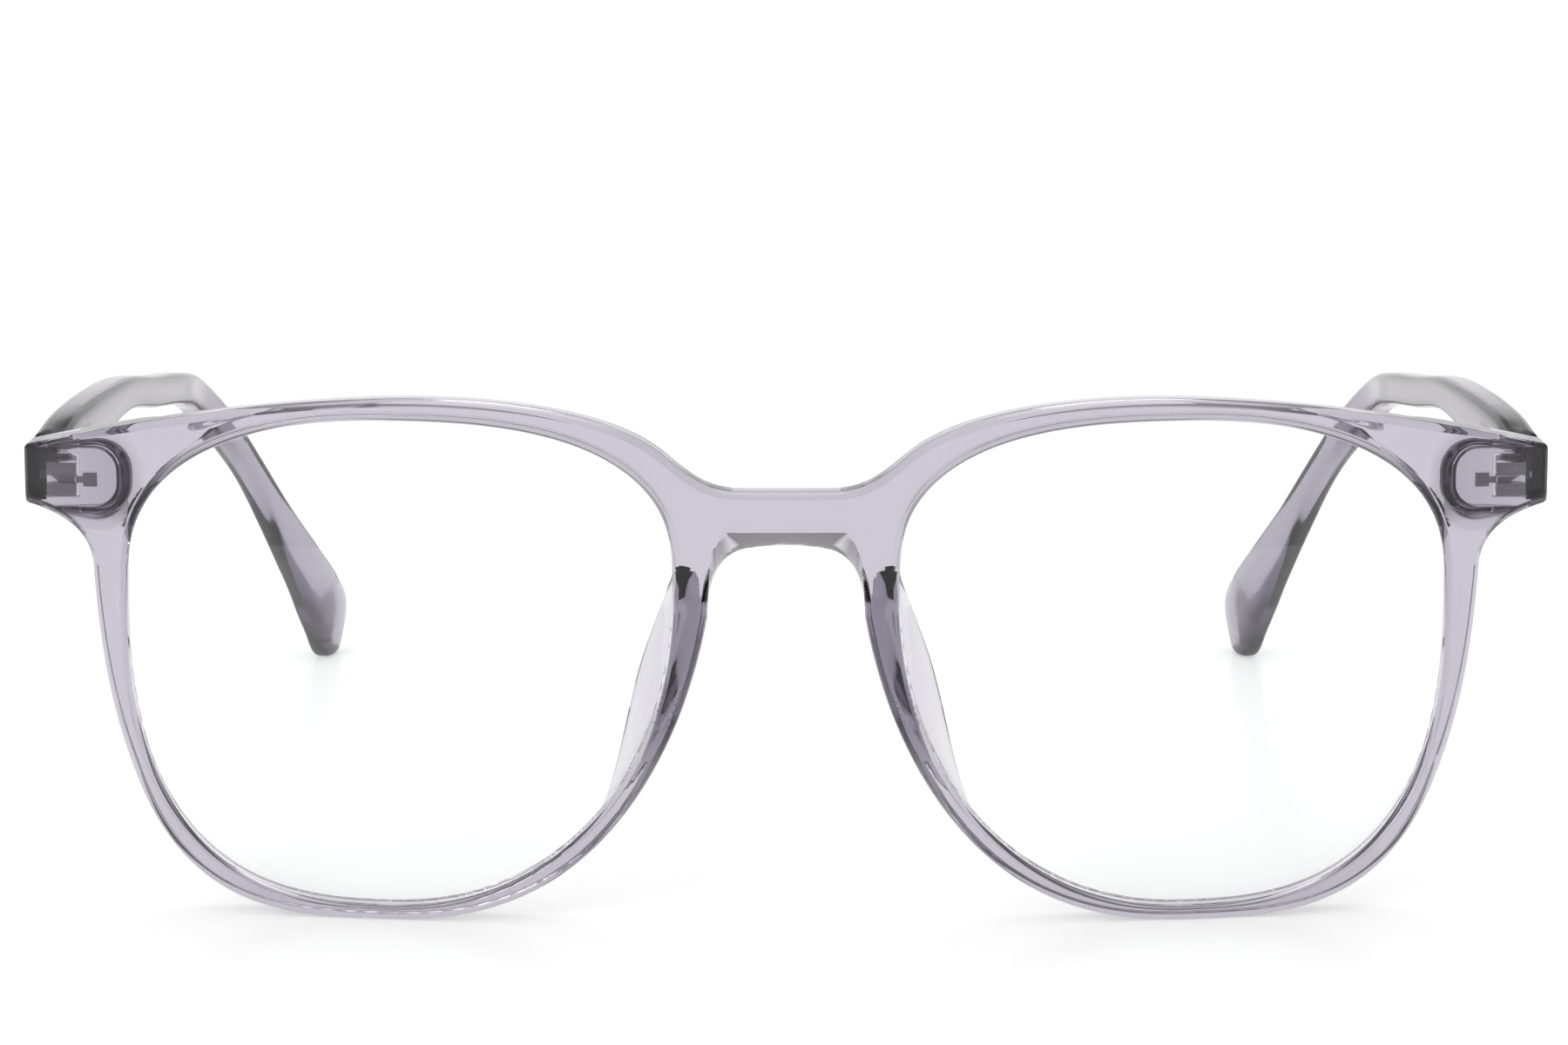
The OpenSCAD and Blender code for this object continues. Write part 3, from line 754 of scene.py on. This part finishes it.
# %% Cut the pocket and the leaf's seat on both sides
POCKET_HALF, POCKET_DEEP = 1.7, 1.3
UNDER_HINGE, OVER_HINGE = 0.3, 0.7  # room under the knuckles, and over them for the screw's head
pocket = box_tool("pocket",
                  (AXIS_X - POCKET_HALF, FACE_Y + JOINT - POCKET_DEEP,
                   HINGE_Z - HINGE_H / 2 - UNDER_HINGE),
                  (AXIS_X + POCKET_HALF, FACE_Y + JOINT + 1, HINGE_Z + HINGE_H / 2 + OVER_HINGE))
pocket_right = other_side(pocket, "pocket_right")
carve(front, pocket)
carve(front, pocket_right)
carve(front, leaf_tool("front_hinge_leaf_left"))
carve(front, leaf_tool("front_hinge_leaf_right"))
face_out(front, merge=1e-7)
smooth(front)
print("finished front", len(front.data.polygons), "faces")

# %% [markdown]
# ## The temples
# A temple is one long moulded bar: high at the hinge, slim along the head, and wide again at the
# tip behind the ear. A curve object with a bevel would make such a bar too, but its section keeps
# one shape. So each row below holds a place along the bar and its height there, and a smooth
# curve runs through the rows. The section is a rounded rectangle.

# %% Rows of the temple's centre line
TEMPLE_T, HEAD_H, SLIM_H, TIP_H = 3.3, 6.1, 3.5, 9.3
TEMPLE_LEN = 94  # from the joint to the bend behind the ear
BEND_IN, TIP_IN, TIP_BACK = 3, 12.8, 26.2  # inwards up to the bend, and inwards and back to the tip
THINNER, TIP_THINNER = 0.1, 1.6  # taken off the thickness along the tip, and at its very end
HEAD_Y, HEAD_Z = JOINT + 0.15, END_TOP + 0.3 - HEAD_H / 2
BEND_Y, MID_X = HEAD_Y + TEMPLE_LEN, END_X - TEMPLE_T / 2
# share of the way to the bend, rise, height
straight = [(0, 0, HEAD_H), (0.1, 0.9, HEAD_H - 0.2), (0.25, 1.4, (HEAD_H + SLIM_H) / 2),
            (0.42, 1.2, SLIM_H), (0.6, -1, SLIM_H), (0.79, -3.2, SLIM_H + 0.1),
            (0.92, -5.6, SLIM_H + 0.4)]
# shares of the way inwards and back, level over the tip's end, height
tip = [(0.15, 0.07, 29.9, SLIM_H + 0.4), (0.34, 0.3, 24.2, SLIM_H - 0.2),
       (0.54, 0.5, 17.4, mix(SLIM_H, TIP_H, 0.13)), (0.745, 0.67, 10.8, mix(SLIM_H, TIP_H, 0.46)),
       (0.865, 0.8, 6.2, mix(SLIM_H, TIP_H, 0.84)), (0.935, 0.93, 2.4, TIP_H), (0.95, 1, 0, 1.8)]


def temple_rows(lift):
    """Rows of place, height and thickness, with the tip's end at the level that lift gives."""
    rows = [(MID_X - BEND_IN * s, HEAD_Y + TEMPLE_LEN * s, HEAD_Z + rise, height, TEMPLE_T)
            for s, rise, height in straight]
    rows += [(MID_X - BEND_IN - TIP_IN * inward, BEND_Y + TIP_BACK * back, lift + level, height,
              TEMPLE_T - (THINNER * back if back < 1 else TIP_THINNER))
             for inward, back, level, height in tip]
    return rows


def smooth_rows(rows):
    """A smooth curve through the rows, eight steps from each to the next."""
    last, line = len(rows) - 1, []
    for i in range(last):
        before, a, b, after = rows[max(i - 1, 0)], rows[i], rows[i + 1], rows[min(i + 2, last)]
        for j in range(8):
            t = j / 8
            point = []
            for k in range(5):
                u = (b[k] - before[k]) / (1 if i == 0 else 2)
                v = (after[k] - a[k]) / (1 if i + 2 > last else 2)
                point.append(a[k] * (2 * t**3 - 3 * t * t + 1) + b[k] * (3 * t * t - 2 * t**3)
                             + u * (t**3 - 2 * t * t + t) + v * (t**3 - t * t))
            line.append(point)
    return line + [list(rows[last])]


print("temple", len(straight) + len(tip), "rows")

# %% Sections of the temple
HEAD_SQUARE, TIP_SQUARE = 4.5, 3.3  # how square the section is along the head, and at the tip
SECTION_POINTS = 56
HEAD_EDGE, TIP_EDGE = 0.3, 0.7  # rounding of its two ends


def section(row, ahead, inset=0.0, forward=0.0):
    """A rounded rectangle across the bar."""
    ahead = Vector(ahead).normalized()
    wide = Vector((ahead.y, -ahead.x, 0)).normalized()
    tall = wide.cross(ahead)
    place = Vector(row[:3]) + ahead * forward
    power = mix(HEAD_SQUARE, TIP_SQUARE, ease(BEND_Y - 60, BEND_Y + 8, row[1]))
    ring = []
    for i in range(SECTION_POINTS):
        a = 2 * math.pi * i / SECTION_POINTS
        ring.append(place + wide * (row[4] / 2 - inset) * squared(math.cos(a), power)
                    + tall * (row[3] / 2 - inset) * squared(math.sin(a), power))
    return ring


def temple_rings(lift):
    """All sections of the bar, with rounded ends."""
    line = smooth_rows(temple_rows(lift))
    last = len(line) - 1
    rings = []
    for i, row in enumerate(line):
        if i == 0:
            ahead = (0, 1, 0)
            rings += [section(row, ahead, HEAD_EDGE * (1 - math.sin(a)),
                              HEAD_EDGE * (1 - math.cos(a))) for a in ROUND_STEPS]
        else:
            ahead = [line[min(i + 1, last)][k] - line[i - 1][k] for k in range(3)]
            rings.append(section(row, ahead))
    rings += [section(line[-1], ahead, TIP_EDGE * (1 - math.cos(a))) for a in ROUND_STEPS[1:4]]
    return rings


print("temple", len(temple_rings(0)), "sections")

# %% Loft the left temple, with the foot of its tip at the level of the measured one
lift = -min(p.z for ring in temple_rings(0) for p in ring)
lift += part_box("temple_left")[0].z / MM
back = Vector((0, FACE_Y, 0))
temple = loft("temple_plastic_left", [[p + back for p in ring] for ring in temple_rings(lift)])
print("temple reaches", round(max(v.co.y for v in temple.data.vertices) / MM, 3), "mm")

# %% [markdown]
# The temple's head turns round the knuckles, so it is hollowed by a round bore that is open to
# the joint: a cylinder joined to a box, cut out in one step.

# %% Cut the room for the knuckles and the seat of the leaf
ROOM_R, ROOM_UNDER, ROOM_OVER = 1.55, 2.8, 2.3  # round the screw, and its reach from the middle
relief = box_tool("relief", (AXIS_X - ROOM_R, FACE_Y + JOINT - 1, HINGE_Z - ROOM_UNDER),
                  (AXIS_X + ROOM_R, FACE_Y + AXIS_Y, HINGE_Z + ROOM_OVER))
pick(None)
middle = HINGE_Z + (ROOM_OVER - ROOM_UNDER) / 2
bpy.ops.mesh.primitive_cylinder_add(vertices=64, radius=ROOM_R * MM,
                                    depth=(ROOM_UNDER + ROOM_OVER) * MM,
                                    location=(AXIS_X * MM, (FACE_Y + AXIS_Y) * MM, middle * MM))
bore = bpy.context.object
bpy.ops.object.transform_apply(location=True)
carve(relief, bore, "UNION")
carve(temple, relief)
carve(temple, leaf_tool("temple_hinge_leaf_left"))
face_out(temple, merge=1e-7)
smooth(temple)
temple_other = other_side(temple, "temple_plastic_right")
print("finished temple", len(temple.data.polygons), "faces")

# %% [markdown]
# The lenses come last, because a groove has to be cut before what lies in it is made. They are a
# hair smaller than their grooves, and their rims are ground, so only wide angles are smoothed.

# %% The two lenses
lens = lens_shape("lens_clear_left", GROOVE - LENS_SLACK, 0)
smooth(lens, 50)
lens_other = other_side(lens, "lens_clear_right")
print("lens", len(lens.data.polygons), "faces")

# %% [markdown]
# ## Materials
# The plastic is clear with a faint lilac grey in it and polished smooth, so nearly all that is
# seen is what it bends and mirrors. A fine unevenness breaks up the polish, as on tumbled acetate.
# A grey surface alone would look painted, so the grey is in the depth of the plastic as well. The
# temples are seen nearly end on. They are the same plastic, but get a copy of its material that is
# a little duller and darker; the extra darkness is painted shade, so that they look as even as in
# the photograph.

# %% Helpers for materials
def new_material(name):
    """A material with its nodes and links."""
    material = bpy.data.materials.new(name)
    material.use_nodes = True
    return material, material.node_tree.nodes, material.node_tree.links


def noise(made, scale, detail=2):
    """An uneven pattern, finer for a larger scale."""
    pattern = made.new("ShaderNodeTexNoise")
    pattern.inputs["Scale"].default_value = scale
    pattern.inputs["Detail"].default_value = detail
    return pattern


def tints(made, low, high, start=0, stop=1):
    """A colour ramp from one tint to another."""
    ramp = made.new("ShaderNodeValToRGB")
    first, last = ramp.color_ramp.elements
    first.position, first.color = start, (*low, 1)
    last.position, last.color = stop, (*high, 1)
    return ramp


def spread(made, low, high):
    """A map of the numbers from 0 to 1 onto a range."""
    new_range = made.new("ShaderNodeMapRange")
    new_range.inputs["To Min"].default_value = low
    new_range.inputs["To Max"].default_value = high
    return new_range


def maths(made, operation):
    """A node for one step of arithmetic."""
    node = made.new("ShaderNodeMath")
    node.operation = operation
    return node


print("ready to make materials")

# %% Clear grey plastic
def clear_plastic(name, density, blur):
    """Polished plastic that takes more light away the further it passes through."""
    material, made, join = new_material(name)
    shader = made["Principled BSDF"]
    shader.inputs["Transmission Weight"].default_value = 1
    shader.inputs["IOR"].default_value = 1.49
    place = made.new("ShaderNodeTexCoord")
    cloud = noise(made, 60, 3)
    tint = tints(made, (0.90, 0.89, 0.915), (0.94, 0.93, 0.95), 0.3, 0.7)
    polish = spread(made, blur, blur + 0.03)
    ripple = noise(made, 260)
    bump = made.new("ShaderNodeBump")
    bump.inputs["Strength"].default_value = 0.05
    bump.inputs["Distance"].default_value = 0.0001
    depth = made.new("ShaderNodeVolumeAbsorption")
    depth.inputs["Color"].default_value = (0.56, 0.52, 0.60, 1)
    depth.inputs["Density"].default_value = density
    join.new(place.outputs["Object"], cloud.inputs["Vector"])
    join.new(place.outputs["Object"], ripple.inputs["Vector"])
    join.new(cloud.outputs["Fac"], tint.inputs["Fac"])
    join.new(tint.outputs["Color"], shader.inputs["Base Color"])
    join.new(cloud.outputs["Fac"], polish.inputs["Value"])
    join.new(polish.outputs["Result"], shader.inputs["Roughness"])
    join.new(ripple.outputs["Fac"], bump.inputs["Height"])
    join.new(bump.outputs["Normal"], shader.inputs["Normal"])
    join.new(depth.outputs["Volume"], made["Material Output"].inputs["Volume"])
    return material


plastic = clear_plastic("clear_grey_plastic", density=290, blur=0.015)
# The temples' copy takes away more light in its depth: that extra darkness is painted shade, not a
# darker plastic.
temple_plastic_with_painted_shade = clear_plastic("clear_grey_plastic_with_painted_temple_shade", density=520, blur=0.1)
print("made", plastic.name, "and", temple_plastic_with_painted_shade.name)

# %% [markdown]
# A lens is polished on both faces and has hardly any colour. A see-through surface without any
# bending would be enough from the front, but then the lens would lose its bright rim from the
# side, so it gets the bending of lens plastic, and a tint that changes very slightly.

# %% Clear lens
clear, made, join = new_material("clear_lens")
shader = made["Principled BSDF"]
shader.inputs["Transmission Weight"].default_value = 1
shader.inputs["IOR"].default_value = 1.5
shader.inputs["Roughness"].default_value = 0.0
place = made.new("ShaderNodeTexCoord")
cloud = noise(made, 25)
tint = tints(made, (0.97, 0.985, 0.985), (0.99, 0.995, 0.995))
join.new(place.outputs["Object"], cloud.inputs["Vector"])
join.new(cloud.outputs["Fac"], tint.inputs["Fac"])
join.new(tint.outputs["Color"], shader.inputs["Base Color"])
print("made", clear.name)

# %% [markdown]
# The leaves and screws of the hinges are steel. Brushing leaves fine lines all one way, so the
# noise is squeezed along Z, and it changes both the shade and the polish of the metal.

# %% Brushed steel of the hinges
steel, made, join = new_material("brushed_hinge_steel")
shader = made["Principled BSDF"]
shader.inputs["Metallic"].default_value = 1
place = made.new("ShaderNodeTexCoord")
lie = made.new("ShaderNodeMapping")
lie.inputs["Scale"].default_value = (300, 300, 6000)
brush = noise(made, 1, 4)
shade = tints(made, (0.16, 0.155, 0.165), (0.42, 0.41, 0.43))
rough = spread(made, 0.25, 0.45)
join.new(place.outputs["Object"], lie.inputs["Vector"])
join.new(lie.outputs["Vector"], brush.inputs["Vector"])
join.new(brush.outputs["Fac"], shade.inputs["Fac"])
join.new(shade.outputs["Color"], shader.inputs["Base Color"])
join.new(brush.outputs["Fac"], rough.inputs["Value"])
join.new(rough.outputs["Result"], shader.inputs["Roughness"])
print("made", steel.name)

# %% [markdown]
# Each dressed piece rides on the body of the measured piece that it replaces, so it turns with
# its hinge. The leaves and the screws are shown as they were measured, and only get their steel.

# %% Dress every piece: give it its body, and hide the measured piece that it replaces
def dress(obj, material, body, node):
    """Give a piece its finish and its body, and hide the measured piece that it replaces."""
    obj.data.materials.clear()
    obj.data.materials.append(material)
    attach(obj, body)
    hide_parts(node)


dress(front, plastic, "front", "front_frame")
dress(temple, temple_plastic_with_painted_shade, "left_temple", "temple_left")
dress(temple_other, temple_plastic_with_painted_shade, "right_temple", "temple_right")
dress(lens, clear, "front", "lens_left")
dress(lens_other, clear, "front", "lens_right")
for name, obj in nodes.items():
    if "hinge" in name:
        for place in obj.material_slots:
            place.material = steel
print("pieces dressed")

# %% [markdown]
# ## Floor, light and background
# The photograph has a white floor that runs into a white background, with only a faint shadow
# under the rims and the tips. A white floor lit by strong lamps would bleach the glasses too, so
# the lamps stay weak and the floor shows a little light of its own to what looks at it.

# %% Floor
FLOOR_SIZE, FLOOR_LEVEL = 6, -0.00005
FLOOR_GLOW = 0.34
pick(None)
bpy.ops.mesh.primitive_plane_add(size=FLOOR_SIZE, location=(0, 0, FLOOR_LEVEL))
floor = bpy.context.object
floor.name = "floor"
bpy.ops.object.mode_set(mode="EDIT")
bpy.ops.mesh.subdivide(number_cuts=3)
bpy.ops.object.mode_set(mode="OBJECT")
paper, made, join = new_material("white_floor")
shader = made["Principled BSDF"]
shader.inputs["Base Color"].default_value = (0.8, 0.8, 0.8, 1)
shader.inputs["Roughness"].default_value = 0.3
shader.inputs["IOR"].default_value = 1.25
ray = made.new("ShaderNodeLightPath")
seen = maths(made, "MAXIMUM")
also = maths(made, "MAXIMUM")
glow = made.new("ShaderNodeEmission")
level = maths(made, "MULTIPLY")
level.inputs[1].default_value = FLOOR_GLOW
both = made.new("ShaderNodeAddShader")
join.new(ray.outputs["Is Camera Ray"], seen.inputs[0])
join.new(ray.outputs["Is Glossy Ray"], seen.inputs[1])
join.new(seen.outputs["Value"], also.inputs[0])
join.new(ray.outputs["Is Transmission Ray"], also.inputs[1])
join.new(also.outputs["Value"], level.inputs[0])
join.new(level.outputs["Value"], glow.inputs["Strength"])
join.new(shader.outputs["BSDF"], both.inputs[0])
join.new(glow.outputs["Emission"], both.inputs[1])
join.new(both.outputs["Shader"], made["Material Output"].inputs["Surface"])
floor.data.materials.append(paper)
print("floor ready")

# %% [markdown]
# The world is white to the camera. What is seen in gloss and through the plastic is white too, but
# with a dimmer band all round, some way above the horizon, and with dimmer sides. They do what
# the dark cards do that are set up beside clear things: they give the edges their dark lines.

# %% World
WHITE = (1, 1, 1)
DIM = 0.3
BAND = ((0.3, 1.0), (0.38, DIM), (0.54, DIM), (0.64, 1.0))  # height and brightness
SIDE_START, SIDE_FULL, SIDE_DIM = 0.22, 0.42, 0.55  # where the sides dim, and how much stays
world = bpy.data.worlds.new("studio")
bpy.context.scene.world = world
world.use_nodes = True
made, join = world.node_tree.nodes, world.node_tree.links
ray = made.new("ShaderNodeLightPath")
where = made.new("ShaderNodeTexCoord")
split = made.new("ShaderNodeSeparateXYZ")
band = tints(made, WHITE, WHITE)
for position, value in BAND:
    stop = band.color_ramp.elements.new(position)
    stop.color = (value, value, value, 1)
aside = maths(made, "ABSOLUTE")
flags = spread(made, 1, SIDE_DIM)
flags.inputs["From Min"].default_value = SIDE_START
flags.inputs["From Max"].default_value = SIDE_FULL
dimmed = made.new("ShaderNodeMix")
dimmed.data_type, dimmed.blend_type = "RGBA", "MULTIPLY"
dimmed.inputs["Factor"].default_value = 1
mirrored = maths(made, "MAXIMUM")
soft = made.new("ShaderNodeMix")
soft.data_type = "RGBA"
final = made.new("ShaderNodeMix")
final.data_type = "RGBA"
soft.inputs["A"].default_value = (0.82, 0.82, 0.82, 1)
final.inputs["B"].default_value = (*WHITE, 1)
join.new(where.outputs["Generated"], split.inputs["Vector"])
join.new(split.outputs["Z"], band.inputs["Fac"])
join.new(ray.outputs["Is Glossy Ray"], mirrored.inputs[0])
join.new(ray.outputs["Is Transmission Ray"], mirrored.inputs[1])
join.new(mirrored.outputs["Value"], soft.inputs["Factor"])
join.new(split.outputs["X"], aside.inputs[0])
join.new(aside.outputs["Value"], flags.inputs["Value"])
join.new(band.outputs["Color"], dimmed.inputs["A"])
join.new(flags.outputs["Result"], dimmed.inputs["B"])
join.new(dimmed.outputs["Result"], soft.inputs["B"])
join.new(ray.outputs["Is Camera Ray"], final.inputs["Factor"])
join.new(soft.outputs["Result"], final.inputs["A"])
join.new(final.outputs["Result"], made["Background"].inputs["Color"])
print("world ready")

# %% Lamps
LOOK_AT = Vector((0, 0, 0.02))


def softbox(name, place, size, power):
    """A square lamp that looks at the middle of the glasses."""
    lamp = bpy.data.objects.new(name, bpy.data.lights.new(name, "AREA"))
    lamp.data.size, lamp.data.energy = size, power
    lamp.location = place
    lamp.rotation_euler = (LOOK_AT - Vector(place)).to_track_quat("-Z", "Y").to_euler()
    bpy.context.scene.collection.objects.link(lamp)


softbox("softbox_top", (0.05, 0.25, 0.8), 0.35, 0.6)
softbox("softbox_front", (-0.5, -0.8, 0.5), 0.4, 2)
bpy.context.scene.view_settings.view_transform = "Standard"
print("studio ready")
